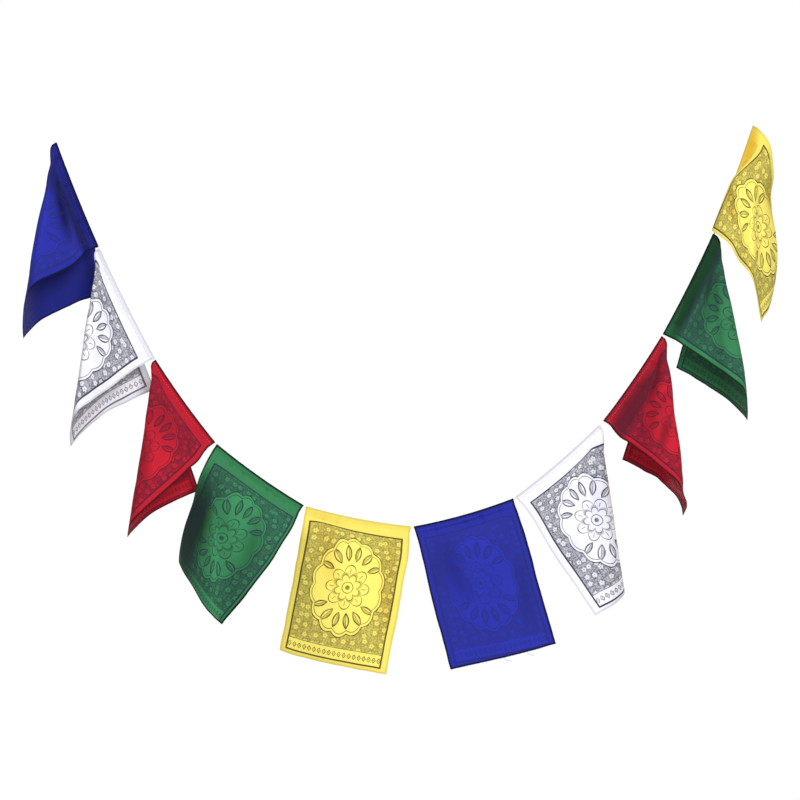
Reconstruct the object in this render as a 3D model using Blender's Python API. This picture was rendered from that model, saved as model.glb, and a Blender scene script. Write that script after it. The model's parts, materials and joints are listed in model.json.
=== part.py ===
"""A string of ten prayer flags, hung by the two ends of its cord, in metres with +Z up.

The cord's left end is the origin, +X runs along the string to the right and +Y away from the
viewer. Each flag is one rectangle of cloth whose top hem is a sleeve round the cord. Below the
hem a flag falls as a fan of straight rays from the upper end of its hem, which is how cloth
hangs from a sloping line, so each flag is given by a short table of rays.
"""

import math
from collections import namedtuple

import bmesh
import bpy
from mathutils import Vector

MM = 0.001

# The cord
CORD_RADIUS = 1.1 * MM
CORD_TAIL = 3.0 * MM  # bare cord past the outer flags
CORD_STEPS = 5  # straight steps along one hem
BEND_STEPS = 3  # and along the bend between two hems

# The cloth
THICKNESS = 1.0 * MM
SLEEVE_HOLE = 1.65 * MM  # radius of the hole that the cord runs in
SLEEVE_WALL = 1.0 * MM
SLEEVE_TURNS = (42.0, 85.0, 132.0)  # degrees round the cord from below, where its outline bends
HEM_DEPTH = 10.0 * MM  # from the cord's axis to the line of stitches
HEM_FLAT = 0.62  # share of that depth from which its two layers lie together
HEM_WIDENS = 40.0 * MM  # over which it goes from its tip to its full depth
HEM_SAG = 4.0 * MM  # of a level hem's middle below the line through its ends
SAG_FADES_AT = 45.0  # degrees below the hem
GATHERED_AT = 40.0  # degrees below the hem from which the rays run straight to the cord
TURNED_AT_TIP = 0.35  # share of its turn that a ray has made at the hem's upper end

# How finely a flag is divided
RINGS = 10  # along the hem, and along each ray
FRONT_RAYS = 9  # from the hem to the corner below its lower end
BACK_RAYS = 8  # and on to the free side edge
CROWDING = 1.4  # brings the rays together at that corner, where the cloth folds

# One row a flag, from left to right. slope is the hem's fall to the right in degrees, gap the
# bare cord to the next flag, flat_reach how far from the hem's upper end the cloth takes to go
# over from lying flat to its folds, and tip the depth of the hem at that end, where a steep hem
# is squeezed together. All but slope are in millimetres.
Flag = namedtuple("Flag", "name cloth slope width height gap flat_reach tip")
FLAGS = (
    Flag("flag_01_blue", "blue_cloth", 68.0, 179.5, 261.0, 3.4, 30.0, 4.6),
    Flag("flag_02_white", "white_cloth", 63.3, 196.8, 251.0, 2.8, 26.0, 4.4),
    Flag("flag_03_red", "red_cloth", 54.2, 163.5, 235.0, 4.4, 26.0, 4.2),
    Flag("flag_04_green", "green_cloth", 35.2, 170.2, 234.0, 4.6, 120.0, 10.0),
    Flag("flag_05_yellow", "yellow_cloth", 10.9, 171.4, 241.0, 5.0, 60.0, 10.0),
    Flag("flag_06_blue", "blue_cloth", -15.8, 165.1, 240.0, 5.0, 60.0, 10.0),
    Flag("flag_07_white", "white_cloth", -40.7, 176.5, 247.0, 10.4, 36.0, 5.0),
    Flag("flag_08_red", "red_cloth", -55.4, 164.6, 236.0, 4.0, 32.0, 4.4),
    Flag("flag_09_green", "green_cloth", -63.4, 179.5, 243.0, 3.6, 40.0, 4.6),
    Flag("flag_10_yellow", "yellow_cloth", -69.8, 180.2, 260.0, 0.0, 115.0, 5.0),
)

# One row a ray of a flag, all in degrees. cloth is the ray's angle from the hem in the flat
# cloth. swing is its lean from straight down as seen from in front, positive towards the hem's
# lower end, depth its turn away from the viewer, and bow how much further the middle of the ray
# swings.
Ray = namedtuple("Ray", "cloth swing depth bow")
FOLDS = {
    "flag_01_blue": (
        Ray(22, 11.2, -4, 0),
        Ray(33, 0.0, -12, 0),
        Ray(40, -6.8, -16, 0),
        Ray(46, -10.0, -12, 0),
        Ray(55.5, -9.3, 2, 0),
        Ray(64, -6.0, 12, 0),
        Ray(76, 2.5, 15, 4),
        Ray(90, 12.5, 17, 8),
    ),
    "flag_02_white": (
        Ray(13, 16.9, -2, 0),
        Ray(27, 5.8, -7, 0),
        Ray(36, -1.3, -13, 0),
        Ray(44, -7.0, -14, 0),
        Ray(52, -7.6, 1, 0),
        Ray(64, -1.1, 12, 0),
        Ray(78, 9.1, 14, 0),
        Ray(90, 20.5, 18, 0),
    ),
    "flag_03_red": (
        Ray(24, 18.4, -3, 0),
        Ray(39, 3.2, -7, 0),
        Ray(46, -3.5, -9, 0),
        Ray(51, -7.9, -7, 0),
        Ray(55, -8.4, 1, 0),
        Ray(62, -4.6, 13, 0),
        Ray(71, 2.2, 17, 0),
        Ray(90, 17.4, 20, 0),
    ),
    "flag_04_green": (
        Ray(28, 30.4, -4, 0),
        Ray(44, 12.0, -2, 0),
        Ray(53, 1.4, 5, 0),
        Ray(60, -2.6, 6, 0),
        Ray(67, -6.6, 10, -1),
        Ray(76, -12.0, 18, -3),
        Ray(84, -18.0, 27, -4),
        Ray(90, -19.4, 29, -4),
    ),
    "flag_05_yellow": (
        Ray(26, 53.8, 1, 0),
        Ray(46, 33.1, -1, 0),
        Ray(53.5, 25.7, -1.5, 0),
        Ray(70, 9.2, 4, 0),
        Ray(90, -10.4, 15, 0),
    ),
    "flag_06_blue": (
        Ray(26, 48.0, -1.5, 0),
        Ray(46, 28.2, 0.5, 0),
        Ray(55, 19.5, 2, 0),
        Ray(72, 2.2, -1, 0),
        Ray(90, -16.4, -1.5, 0),
    ),
    "flag_07_white": (
        Ray(29, 25.0, -5, 0),
        Ray(47, 8.0, -9, 0),
        Ray(54.5, 0.7, -8, 0),
        Ray(60, -5.4, -3, 0),
        Ray(66, -8.8, 6, 0),
        Ray(74, -4.0, 15, 0),
        Ray(90, 9.0, 18, 0),
    ),
    "flag_08_red": (
        Ray(21, 17.7, -4, 0),
        Ray(31, 8.3, -11, 0),
        Ray(38, 1.9, -14, 0),
        Ray(46, -5.6, -14, 0),
        Ray(50, -7.4, -10, 0),
        Ray(54.5, -6.8, 2, 0),
        Ray(57.5, -5.4, 18, 0),
        Ray(62, -3.4, 26, 0),
        Ray(76, 4.4, 28, 0),
        Ray(90, 16.0, 29, 0),
    ),
    "flag_09_green": (
        Ray(14, 16.4, -3, 0),
        Ray(31, 0.8, -8, 0),
        Ray(39, -5.5, -12, 0),
        Ray(45, -9.8, -11, -2),
        Ray(53.5, -9.8, 1, -2),
        Ray(60, -7.0, 12, 0),
        Ray(69, -0.9, 17, 0),
        Ray(90, 13.6, 26, 0),
    ),
    "flag_10_yellow": (
        Ray(15, 14.2, -6, 0),
        Ray(30, 7.4, -10, 0),
        Ray(42, 2.0, -13, 0),
        Ray(55, -1.7, -6, -1),
        Ray(62, -4.6, -1, -3),
        Ray(71, -6.8, 7, -6),
        Ray(79, -6.8, 14, -5),
        Ray(90, -5.6, 21, -8),
    ),
}

# Base colour and roughness of each cloth and of the cord
FINISHES = {
    "blue_cloth": ((0.020, 0.022, 0.360, 1.0), 0.75),
    "white_cloth": ((0.820, 0.820, 0.860, 1.0), 0.80),
    "red_cloth": ((0.520, 0.020, 0.045, 1.0), 0.75),
    "green_cloth": ((0.035, 0.220, 0.085, 1.0), 0.75),
    "yellow_cloth": ((0.920, 0.760, 0.160, 1.0), 0.75),
    "cord_yarn": ((0.850, 0.850, 0.820, 1.0), 0.85),
}


def pointing(side, swing, depth=0.0):
    """The direction of a ray with that swing and depth in degrees, where the hem's lower end
    lies towards +X for a side of 1 and towards -X for a side of -1."""
    a, b = math.radians(swing), math.radians(depth)
    return Vector((side * math.sin(a) * math.cos(b), math.sin(b), -math.cos(a) * math.cos(b)))


def curved(rows, at, column):
    """The smooth value of a column at a cloth angle, through the rows on either side."""
    spot = max(i for i in range(len(rows) - 1) if rows[i].cloth <= at or i == 0)
    left, right = rows[spot], rows[spot + 1]
    before = rows[max(spot - 1, 0)]
    after = rows[min(spot + 2, len(rows) - 1)]
    span = right.cloth - left.cloth
    start, end = getattr(left, column), getattr(right, column)
    rise_in = (end - getattr(before, column)) / (right.cloth - before.cloth)
    rise_out = (getattr(after, column) - start) / (after.cloth - left.cloth)
    t = (at - left.cloth) / span
    return (
        start * (1 - t) ** 2 * (1 + 2 * t)
        + end * t**2 * (3 - 2 * t)
        + rise_in * span * t * (1 - t) ** 2
        - rise_out * span * t**2 * (1 - t)
    )


def eased(t):
    """0 up to t of 0 and 1 from t of 1, smooth between."""
    t = min(max(t, 0.0), 1.0)
    return t * t * (3 - 2 * t)


class Hang:
    """How one flag hangs: where its hem lies on the cord and where its cloth goes."""

    def __init__(self, flag, left_end):
        self.flag = flag
        self.width = flag.width * MM
        self.height = flag.height * MM - HEM_DEPTH
        self.side = 1 if flag.slope > 0 else -1
        self.hem_swing = 90 - abs(flag.slope)
        self.sag = HEM_SAG * math.sin(math.radians(self.hem_swing))
        self.along = pointing(self.side, self.hem_swing)
        self.down = pointing(self.side, self.hem_swing - 90)
        self.upper = left_end.copy()
        if self.side < 0:
            self.upper -= self.along * self.width
        self.rays = (Ray(0, self.hem_swing, 0, 0), *FOLDS[flag.name])
        self.corner = math.degrees(math.atan2(self.height, self.width))

    def hem(self, along):
        """The cord's axis at that distance from the hem's upper end."""
        share = along / self.width
        return self.upper + self.along * along + self.down * self.sag * 4 * share * (1 - share)

    def hem_depth(self, along):
        """From the cord's axis to the hem's inner edge, at that distance from its upper end."""
        tip = self.flag.tip * MM
        return tip + (HEM_DEPTH - tip) * eased(along / HEM_WIDENS)

    def hem_ends(self):
        """The hem's left and right ends, and the cord's directions there."""
        tilt = 4 * self.sag / self.width
        out = (self.along + self.down * tilt).normalized()
        back = (self.along - self.down * tilt).normalized()
        if self.side > 0:
            return self.hem(0), self.hem(self.width), out, back
        return self.hem(self.width), self.hem(0), -back, -out

    def cloth(self, angle, share):
        """A point of the cloth's middle surface below the line of stitches: share of the way
        along the ray at that angle."""
        turn = math.radians(angle)
        if angle <= self.corner:
            full = self.width / math.cos(turn)
        else:
            full = self.height / math.sin(turn)
        reach = share * full
        fold = eased(reach / (self.flag.flat_reach * MM))
        flat_swing = self.hem_swing - angle
        swing = curved(self.rays, angle, "swing")
        swing += curved(self.rays, angle, "bow") * 4 * share * (1 - share)
        depth = curved(self.rays, angle, "depth")
        turned = TURNED_AT_TIP + (1 - TURNED_AT_TIP) * fold
        gathered = fold * eased(angle / GATHERED_AT)
        hem_depth = self.hem_depth(reach * math.cos(turn))
        start = self.upper + self.down * hem_depth * (1 - gathered)
        place = start + (reach + gathered * HEM_DEPTH * math.sin(turn)) * pointing(
            self.side, flat_swing + (swing - flat_swing) * turned, depth * fold
        )
        fades = max(0.0, 1 - angle / SAG_FADES_AT) ** 2
        return place + self.down * self.sag * 4 * share * (1 - share) * fades

    def ray_angles(self):
        """The cloth angles of all rays, close together at the corner."""
        front = [
            self.corner * (1 - (1 - i / FRONT_RAYS) ** CROWDING) for i in range(FRONT_RAYS)
        ]
        back = [
            self.corner + (90 - self.corner) * (i / BACK_RAYS) ** CROWDING
            for i in range(BACK_RAYS + 1)
        ]
        return front + back


def sleeve_outline(depth):
    """The section of a hem of that depth from its front lower edge over the cord to its back
    lower edge, as (below the cord's axis, towards the viewer)."""
    outer = SLEEVE_HOLE + SLEEVE_WALL
    front = [(depth, THICKNESS / 2), (HEM_FLAT * depth, THICKNESS)]
    for angle in SLEEVE_TURNS:
        turn = math.radians(angle)
        front.append((outer * math.cos(turn), outer * math.sin(turn)))
    return front + [(-outer, 0.0)] + [(p, -n) for p, n in reversed(front)]


def hole_outline(count):
    """The hole's section, its points in step with those of the sleeve's outline."""
    turns = [2 * math.pi * (i + 0.5) / count for i in range(count)]
    return [(SLEEVE_HOLE * math.cos(turn), SLEEVE_HOLE * math.sin(turn)) for turn in turns]


def surface_normals(grid, side):
    """The unit normal at each point of a grid of rays, on the cloth's printed face."""
    normals = []
    for i, ray in enumerate(grid):
        left, right = grid[max(i - 1, 0)], grid[min(i + 1, len(grid) - 1)]
        row = []
        for k in range(len(ray)):
            outward = ray[min(k + 1, len(ray) - 1)] - ray[max(k - 1, 0)]
            around = right[max(k, 1)] - left[max(k, 1)]
            row.append(around.cross(outward).normalized() * side)
        normals.append(row)
    return normals


def flag_mesh(hang):
    """A closed mesh of one flag: its folded cloth, and its hem as a sleeve round the cord."""
    bm = bmesh.new()
    grid = [[hang.cloth(a, k / RINGS) for k in range(RINGS + 1)] for a in hang.ray_angles()]
    normals = surface_normals(grid, hang.side)
    viewer = Vector((0, -1, 0))
    hole = hole_outline(len(sleeve_outline(HEM_DEPTH)))
    last = len(hole) - 1

    sections, holes = [], []
    for k in range(RINGS + 1):
        along = hang.width * k / RINGS
        centre = hang.hem(along)
        outline = sleeve_outline(hang.hem_depth(along))
        sections.append([bm.verts.new(centre + hang.down * p + viewer * n) for p, n in outline])
        holes.append([bm.verts.new(centre + hang.down * p + viewer * n) for p, n in hole])

    front = [[section[0] for section in sections]]
    back = [[section[last] for section in sections]]
    for i in range(1, len(grid)):
        front.append([front[0][0]])
        back.append([back[0][0]])
        for k in range(1, RINGS + 1):
            front[i].append(bm.verts.new(grid[i][k] + normals[i][k] * THICKNESS / 2))
            back[i].append(bm.verts.new(grid[i][k] - normals[i][k] * THICKNESS / 2))

    for skin in (front, back):
        for i in range(len(grid) - 1):
            bm.faces.new((skin[i][0], skin[i][1], skin[i + 1][1]))
            for k in range(1, RINGS):
                bm.faces.new((skin[i][k], skin[i][k + 1], skin[i + 1][k + 1], skin[i + 1][k]))
    for i in range(len(grid) - 1):
        bm.faces.new((front[i][-1], front[i + 1][-1], back[i + 1][-1], back[i][-1]))
    for k in range(RINGS):
        bm.faces.new((front[-1][k], front[-1][k + 1], back[-1][k + 1], back[-1][k]))
    for k in range(RINGS):
        here, there = sections[k], sections[k + 1]
        for j in range(last):
            bm.faces.new((here[j], here[j + 1], there[j + 1], there[j]))
        here, there = holes[k], holes[k + 1]
        for j in range(len(hole)):
            j2 = (j + 1) % len(hole)
            bm.faces.new((here[j], here[j2], there[j2], there[j]))
    for k in (0, RINGS):
        for j in range(len(hole)):
            j2 = (j + 1) % len(hole)
            bm.faces.new((sections[k][j], sections[k][j2], holes[k][j2], holes[k][j]))

    bmesh.ops.recalc_face_normals(bm, faces=bm.faces)
    bmesh.ops.triangulate(bm, faces=bm.faces)
    mesh = bpy.data.meshes.new(hang.flag.name)
    bm.to_mesh(mesh)
    bm.free()
    return mesh


def bend(start, end, leaving, arriving):
    """Points of the smooth bend of cord between two hems, without its ends."""
    reach = (end - start).length
    points = []
    for i in range(1, BEND_STEPS):
        t = i / BEND_STEPS
        points.append(
            start * (1 - t) ** 2 * (1 + 2 * t)
            + end * t**2 * (3 - 2 * t)
            + leaving * reach * t * (1 - t) ** 2
            - arriving * reach * t**2 * (1 - t)
        )
    return points


def hang_all():
    """Every flag's Hang, placed one after another along the cord."""
    hangs = []
    left_end = pointing(1, 90 - FLAGS[0].slope) * CORD_TAIL
    for flag, following in zip(FLAGS, FLAGS[1:] + FLAGS[-1:]):
        hangs.append(Hang(flag, left_end))
        _, right_end, _, _ = hangs[-1].hem_ends()
        middle = 90 - (flag.slope + following.slope) / 2
        left_end = right_end + pointing(1, middle) * flag.gap * MM
    return hangs


def cord_route(hangs):
    """The cord's whole route, from its left end to its right end."""
    route = [Vector((0, 0, 0))]
    for n, hang in enumerate(hangs):
        left, right, leaving, arriving = hang.hem_ends()
        if n > 0:
            _, before, _, direction = hangs[n - 1].hem_ends()
            route += bend(before, left, direction, leaving)
        steps = [hang.width * i / CORD_STEPS for i in range(CORD_STEPS + 1)]
        if hang.side < 0:
            steps.reverse()
        route += [hang.hem(step) for step in steps]
    route.append(route[-1] + arriving * CORD_TAIL)
    return route


def make_cord(route):
    curve = bpy.data.curves.new("cord", "CURVE")
    curve.dimensions = "3D"
    curve.bevel_depth = CORD_RADIUS
    curve.bevel_resolution = 2
    curve.use_fill_caps = True
    spline = curve.splines.new("POLY")
    spline.points.add(len(route) - 1)
    for point, place in zip(spline.points, route):
        point.co = (*place, 1.0)
    return bpy.data.objects.new("cord", curve)


def make_material(name):
    colour, roughness = FINISHES[name]
    material = bpy.data.materials.new(name)
    material.use_nodes = True
    shader = material.node_tree.nodes["Principled BSDF"]
    shader.inputs["Base Color"].default_value = colour
    shader.inputs["Roughness"].default_value = roughness
    shader.inputs["Metallic"].default_value = 0.0
    return material


def main():
    for old in list(bpy.data.objects):
        bpy.data.objects.remove(old, do_unlink=True)
    materials = {name: make_material(name) for name in FINISHES}
    hangs = hang_all()
    cord = make_cord(cord_route(hangs))
    cord.data.materials.append(materials["cord_yarn"])
    bpy.context.scene.collection.objects.link(cord)
    for hang in hangs:
        mesh = flag_mesh(hang)
        mesh.materials.append(materials[hang.flag.cloth])
        mesh.shade_smooth()
        bpy.context.scene.collection.objects.link(bpy.data.objects.new(hang.flag.name, mesh))


main()
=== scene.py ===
"""The looks of a string of ten prayer flags, laid out as an add-on and run as a script.

Each flag is one thin sheet of cloth, from its bottom edge up over the cord and down to the back
of its hem. It hangs on the same fan of rays as its solid, with the creases, gathers and uneven
edges that the solid leaves out. All cloth has the same block print.
"""

import json
import math
from collections import namedtuple

import bmesh
import bpy
import numpy as np
from bpy.props import FloatProperty, FloatVectorProperty, IntProperty, PointerProperty
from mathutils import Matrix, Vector, noise

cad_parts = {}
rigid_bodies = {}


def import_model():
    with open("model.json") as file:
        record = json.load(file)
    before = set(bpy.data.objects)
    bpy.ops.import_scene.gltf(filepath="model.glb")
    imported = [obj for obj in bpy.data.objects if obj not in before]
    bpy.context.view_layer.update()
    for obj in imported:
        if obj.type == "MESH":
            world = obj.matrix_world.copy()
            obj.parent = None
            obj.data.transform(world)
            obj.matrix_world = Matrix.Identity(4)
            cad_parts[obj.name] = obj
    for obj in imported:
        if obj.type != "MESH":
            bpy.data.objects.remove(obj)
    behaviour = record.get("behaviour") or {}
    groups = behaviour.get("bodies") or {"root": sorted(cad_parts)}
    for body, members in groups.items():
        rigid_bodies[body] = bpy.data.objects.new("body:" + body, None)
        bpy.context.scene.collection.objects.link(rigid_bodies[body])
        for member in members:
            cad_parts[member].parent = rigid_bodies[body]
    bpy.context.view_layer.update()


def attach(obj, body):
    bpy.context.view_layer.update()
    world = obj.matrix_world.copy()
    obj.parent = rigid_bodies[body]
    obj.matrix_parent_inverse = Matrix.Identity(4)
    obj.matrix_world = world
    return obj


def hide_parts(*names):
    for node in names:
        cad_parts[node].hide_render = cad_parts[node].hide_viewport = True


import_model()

bl_info = {
    "name": "Prayer Flags",
    "version": (1, 0, 0),
    "blender": (4, 5, 0),
    "location": "3D View > Sidebar > Flags",
    "description": "Dresses a string of hemmed and block-printed cloth flags",
    "category": "Object",
}

MM = 0.001
VIEWER = Vector((0, -1, 0))

# The solids' own sizes and tables
CORD_RADIUS = 1.1 * MM
CORD_TAIL = 3.0 * MM
CORD_STEPS = 5
BEND_STEPS = 3
HEM_DEPTH = 10.0 * MM  # from the cord's axis to the hem's inner edge
HEM_WIDENS = 40.0 * MM
HEM_SAG = 4.0 * MM
SAG_FADES_AT = 45.0
GATHERED_AT = 40.0
TURNED_AT_TIP = 0.35

Flag = namedtuple("Flag", "name cloth slope width height gap flat_reach tip")
FLAGS = (
    Flag("flag_01_blue", "blue_cloth", 68.0, 179.5, 261.0, 3.4, 30.0, 4.6),
    Flag("flag_02_white", "white_cloth", 63.3, 196.8, 251.0, 2.8, 26.0, 4.4),
    Flag("flag_03_red", "red_cloth", 54.2, 163.5, 235.0, 4.4, 26.0, 4.2),
    Flag("flag_04_green", "green_cloth", 35.2, 170.2, 234.0, 4.6, 120.0, 10.0),
    Flag("flag_05_yellow", "yellow_cloth", 10.9, 171.4, 241.0, 5.0, 60.0, 10.0),
    Flag("flag_06_blue", "blue_cloth", -15.8, 165.1, 240.0, 5.0, 60.0, 10.0),
    Flag("flag_07_white", "white_cloth", -40.7, 176.5, 247.0, 10.4, 36.0, 5.0),
    Flag("flag_08_red", "red_cloth", -55.4, 164.6, 236.0, 4.0, 32.0, 4.4),
    Flag("flag_09_green", "green_cloth", -63.4, 179.5, 243.0, 3.6, 40.0, 4.6),
    Flag("flag_10_yellow", "yellow_cloth", -69.8, 180.2, 260.0, 0.0, 115.0, 5.0),
)


def as_rows(kind, table):
    """A table of plain rows of numbers, with each row made a named tuple of that kind."""
    return {name: [kind(*row) for row in rows] for name, rows in table.items()}


# Each flag's folds: at which angle of the flat cloth from its hem, which way that ray hangs, and
# how far back and how bent, all in degrees
Ray = namedtuple("Ray", "cloth swing depth bow", defaults=(0,))
FOLDS = as_rows(Ray, {
    "flag_01_blue": (
        (22, 11.2, -4), (33, 0.0, -12), (40, -6.8, -16), (46, -10.0, -12), (55.5, -9.3, 2),
        (64, -6.0, 12), (76, 2.5, 15, 4), (90, 12.5, 17, 8),
    ),
    "flag_02_white": (
        (13, 16.9, -2), (27, 5.8, -7), (36, -1.3, -13), (44, -7.0, -14), (52, -7.6, 1),
        (64, -1.1, 12), (78, 9.1, 14), (90, 20.5, 18),
    ),
    "flag_03_red": (
        (24, 18.4, -3), (39, 3.2, -7), (46, -3.5, -9), (51, -7.9, -7), (55, -8.4, 1),
        (62, -4.6, 13), (71, 2.2, 17), (90, 17.4, 20),
    ),
    "flag_04_green": (
        (28, 30.4, -4), (44, 12.0, -2), (53, 1.4, 5), (60, -2.6, 6), (67, -6.6, 10, -1),
        (76, -12.0, 18, -3), (84, -18.0, 27, -4), (90, -19.4, 29, -4),
    ),
    "flag_05_yellow": (
        (26, 53.8, 1), (46, 33.1, -1), (53.5, 25.7, -1.5), (70, 9.2, 4), (90, -10.4, 15),
    ),
    "flag_06_blue": (
        (26, 48.0, -1.5), (46, 28.2, 0.5), (55, 19.5, 2), (72, 2.2, -1), (90, -16.4, -1.5),
    ),
    "flag_07_white": (
        (29, 25.0, -5), (47, 8.0, -9), (54.5, 0.7, -8), (60, -5.4, -3), (66, -8.8, 6),
        (74, -4.0, 15), (90, 9.0, 18),
    ),
    "flag_08_red": (
        (21, 17.7, -4), (31, 8.3, -11), (38, 1.9, -14), (46, -5.6, -14), (50, -7.4, -10),
        (54.5, -6.8, 2), (57.5, -5.4, 18), (62, -3.4, 26), (76, 4.4, 28), (90, 16.0, 29),
    ),
    "flag_09_green": (
        (14, 16.4, -3), (31, 0.8, -8), (39, -5.5, -12), (45, -9.8, -11, -2), (53.5, -9.8, 1, -2),
        (60, -7.0, 12), (69, -0.9, 17), (90, 13.6, 26),
    ),
    "flag_10_yellow": (
        (15, 14.2, -6), (30, 7.4, -10), (42, 2.0, -13), (55, -1.7, -6, -1), (62, -4.6, -1, -3),
        (71, -6.8, 7, -6), (79, -6.8, 14, -5), (90, -5.6, 21, -8),
    ),
})

# The sleeve's section above the hem's inner edge, in millimetres below the cord's axis and
# towards the viewer: the front layer from below, the round over the cord, then the back layer.
SLEEVE_FRONT = ((8.4, 0.15), (6.8, 0.32), (5.2, 0.30), (3.9, 0.80), (2.6, 1.45))
SLEEVE_ROUND = 2.0
SLEEVE_TURNS = (60, 90, 120, 150, 180, 210, 240, 270, 300)
SLEEVE_BACK = ((2.6, -1.45), (3.9, -0.85), (5.2, -0.35), (6.8, -0.55), (8.4, -0.62), (9.8, -0.66))
STITCH_ROW = 5.2  # the stitches' place in that section
STITCH_PULL = 9.0  # millimetres below the stitches over which their gathers fade

# Creases, in millimetres of flat cloth: from one point to another, each along the hem from its
# upper end and below its inner edge, with the crease's half width and its rise towards the
# printed face. A negative rise is a trough.
# Each trough is also painted darker, as shade, by its depth
Crease = namedtuple("Crease", "along drop to_along to_drop width rise")
CREASES = as_rows(Crease, {
    "flag_01_blue": (
        (20, 8, 150, 62, 13, -4.0), (40, 50, 150, 150, 16, 2.5), (120, 4, 176, 40, 7, -1.6),
        (60, 120, 20, 240, 14, -2.0),
    ),
    "flag_02_white": (
        (40, 14, 170, 60, 12, -2.4), (60, 60, 190, 150, 15, 2.0), (30, 90, 90, 220, 16, -2.2),
        (150, 8, 190, 60, 8, 1.6),
    ),
    "flag_03_red": (
        (10, 18, 120, 66, 11, 1.8), (50, 66, 150, 160, 13, -1.8), (110, 10, 156, 60, 9, -1.5),
    ),
    "flag_04_green": (
        (6, 30, 60, 190, 14, -3.0), (40, 30, 120, 200, 18, 2.2), (110, 40, 160, 180, 16, -1.6),
        (12, 70, 20, 200, 7, 2.4),
    ),
    "flag_05_yellow": (
        (30, 0, 60, 110, 16, -1.2), (90, 0, 110, 150, 20, 1.4), (140, 10, 160, 200, 15, -1.2),
        (40, 190, 150, 214, 14, 1.0),
    ),
    "flag_06_blue": (
        (30, 2, 120, 3, 4, -1.0), (130, 10, 110, 140, 18, -1.4), (60, 10, 50, 170, 20, 1.4),
        (20, 60, 30, 210, 14, -1.2),
    ),
    "flag_07_white": (
        (20, 16, 110, 150, 13, -2.4), (60, 16, 150, 120, 16, 2.0), (8, 40, 60, 190, 12, 2.0),
        (120, 60, 160, 190, 12, -1.6),
    ),
    "flag_08_red": (
        (40, 14, 112, 42, 8, -2.6), (60, 38, 116, 78, 7, 2.6), (58, 54, 104, 62, 6, -2.6),
        (84, 80, 148, 112, 9, -2.4), (70, 96, 140, 160, 10, 2.4), (22, 20, 62, 66, 8, 1.8),
    ),
    "flag_09_green": (
        (20, 4, 130, 50, 12, -3.0), (50, 40, 150, 120, 14, 2.6), (96, 10, 160, 30, 6, 1.8),
        (90, 100, 140, 200, 13, -2.4),
    ),
    "flag_10_yellow": (
        (12, 6, 60, 26, 7, 3.4), (20, 22, 66, 34, 6, -1.4), (10, 30, 16, 90, 6, 0.8),
        (90, 6, 150, 60, 11, -2.0), (60, 90, 120, 210, 13, 2.2), (26, 60, 50, 150, 10, -2.0),
    ),
})

# Where the hem is gathered into a short pucker, in millimetres along it from its upper end
PUCKERS = {
    "flag_01_blue": (24, 71, 128, 150),
    "flag_02_white": (30, 46, 56, 66, 100, 110, 141, 170),
    "flag_03_red": (38, 92, 133),
    "flag_04_green": (34, 62, 108, 122, 142),
    "flag_05_yellow": (28, 55, 97, 120),
    "flag_06_blue": (24, 58, 84, 131),
    "flag_07_white": (18, 34, 60, 84, 117, 138),
    "flag_08_red": (45, 88, 121),
    "flag_09_green": (33, 70, 112, 156),
    "flag_10_yellow": (26, 62, 90, 134),
}

# Where the cloth is tucked up over its own hem, in millimetres: from where along the hem, where
# in full, how far below the hem the fold lies, over how much cloth it fades out, and how far it
# goes up and towards the viewer
Tuck = namedtuple("Tuck", "start full fold fade up out")
TUCKS = {"flag_10_yellow": Tuck(25.0, 105.0, 13.0, 70.0, 21.5, 6.0)}

# Where the limp cloth hangs a little out of the solid's place, in millimetres: the place, how far
# round it the cloth follows, and how far it goes to the right and up
Pull = namedtuple("Pull", "along drop spread right up")
PULLS = as_rows(Pull, {
    "flag_01_blue": ((33, 28, 22, -2.5, 0), (177, 190, 45, 2.5, 0), (90, 245, 40, 0, -2.5)),
    "flag_03_red": ((163, 40, 26, 2, -4),),
    "flag_04_green": ((170, 40, 30, 5, 0), (170, 150, 40, -2, 0), (125, 221, 34, -2, -3)),
    "flag_05_yellow": ((0, 231, 70, -2, -3.5), (171, 40, 30, 4, 0)),
    "flag_06_blue": ((0, 60, 50, 2.5, 0),),
    "flag_08_red": (
        (165, 30, 25, -2, -5), (60, 226, 38, -2, -5.5), (112, 220, 22, -2, -2),
        (150, 218, 16, 7, 7), (165, 226, 12, -5, -3), (162, 185, 16, -4, 0), (50, 50, 50, 3, 0),
    ),
    "flag_09_green": ((25, 30, 28, 3.5, 0),),
    "flag_10_yellow": ((0, 102, 38, 6, 0), (14, 56, 22, -4.5, 0), (180, 100, 50, -5, -5)),
})

# Painted shade, where the cloth turns from the light or lies double: a soft streak like a crease,
# with its share of the painted deep shade in place of the rise
SHADES = as_rows(Crease, {
    "flag_01_blue": (
        (-20, 24, 290, 12, 24, 1.15), (-60, 0, 260, -4, 15, 0.8), (20, 60, 60, 120, 18, 0.3),
    ),
    "flag_03_red": ((20, 34, 140, 60, 24, 0.55),),
    "flag_04_green": ((10, 10, 44, 280, 28, 1.15), (-20, -3, 190, -2, 2.4, 0.4)),
    "flag_05_yellow": ((-40, -2, 100, 0, 8, 0.4),),
    "flag_06_blue": ((-20, -1, 185, -1, 2.4, 0.6), (120, 10, 170, 120, 18, 0.3)),
    "flag_08_red": (
        (-40, 8, 190, 18, 26, 0.75), (20, 12, 220, 24, 26, 1.4), (50, 60, 170, 70, 22, 0.4),
    ),
    "flag_09_green": (
        (-160, 2, 260, 6, 24, 1.3), (0, 40, 210, 50, 34, 0.6), (-60, 90, 260, 110, 60, 0.3),
    ),
    "flag_10_yellow": ((-30, -4, 105, -2, 15, 1.0), (90, 14, 200, 14, 9, 0.6)),
})

PUCKER_WIDTH = 2.6
PUCKER_REACH = (-9.0, 13.0)  # above and below the hem's inner edge
# the share of painted shade in a pucker's trough
PUCKER_SHADE = 0.15

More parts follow.
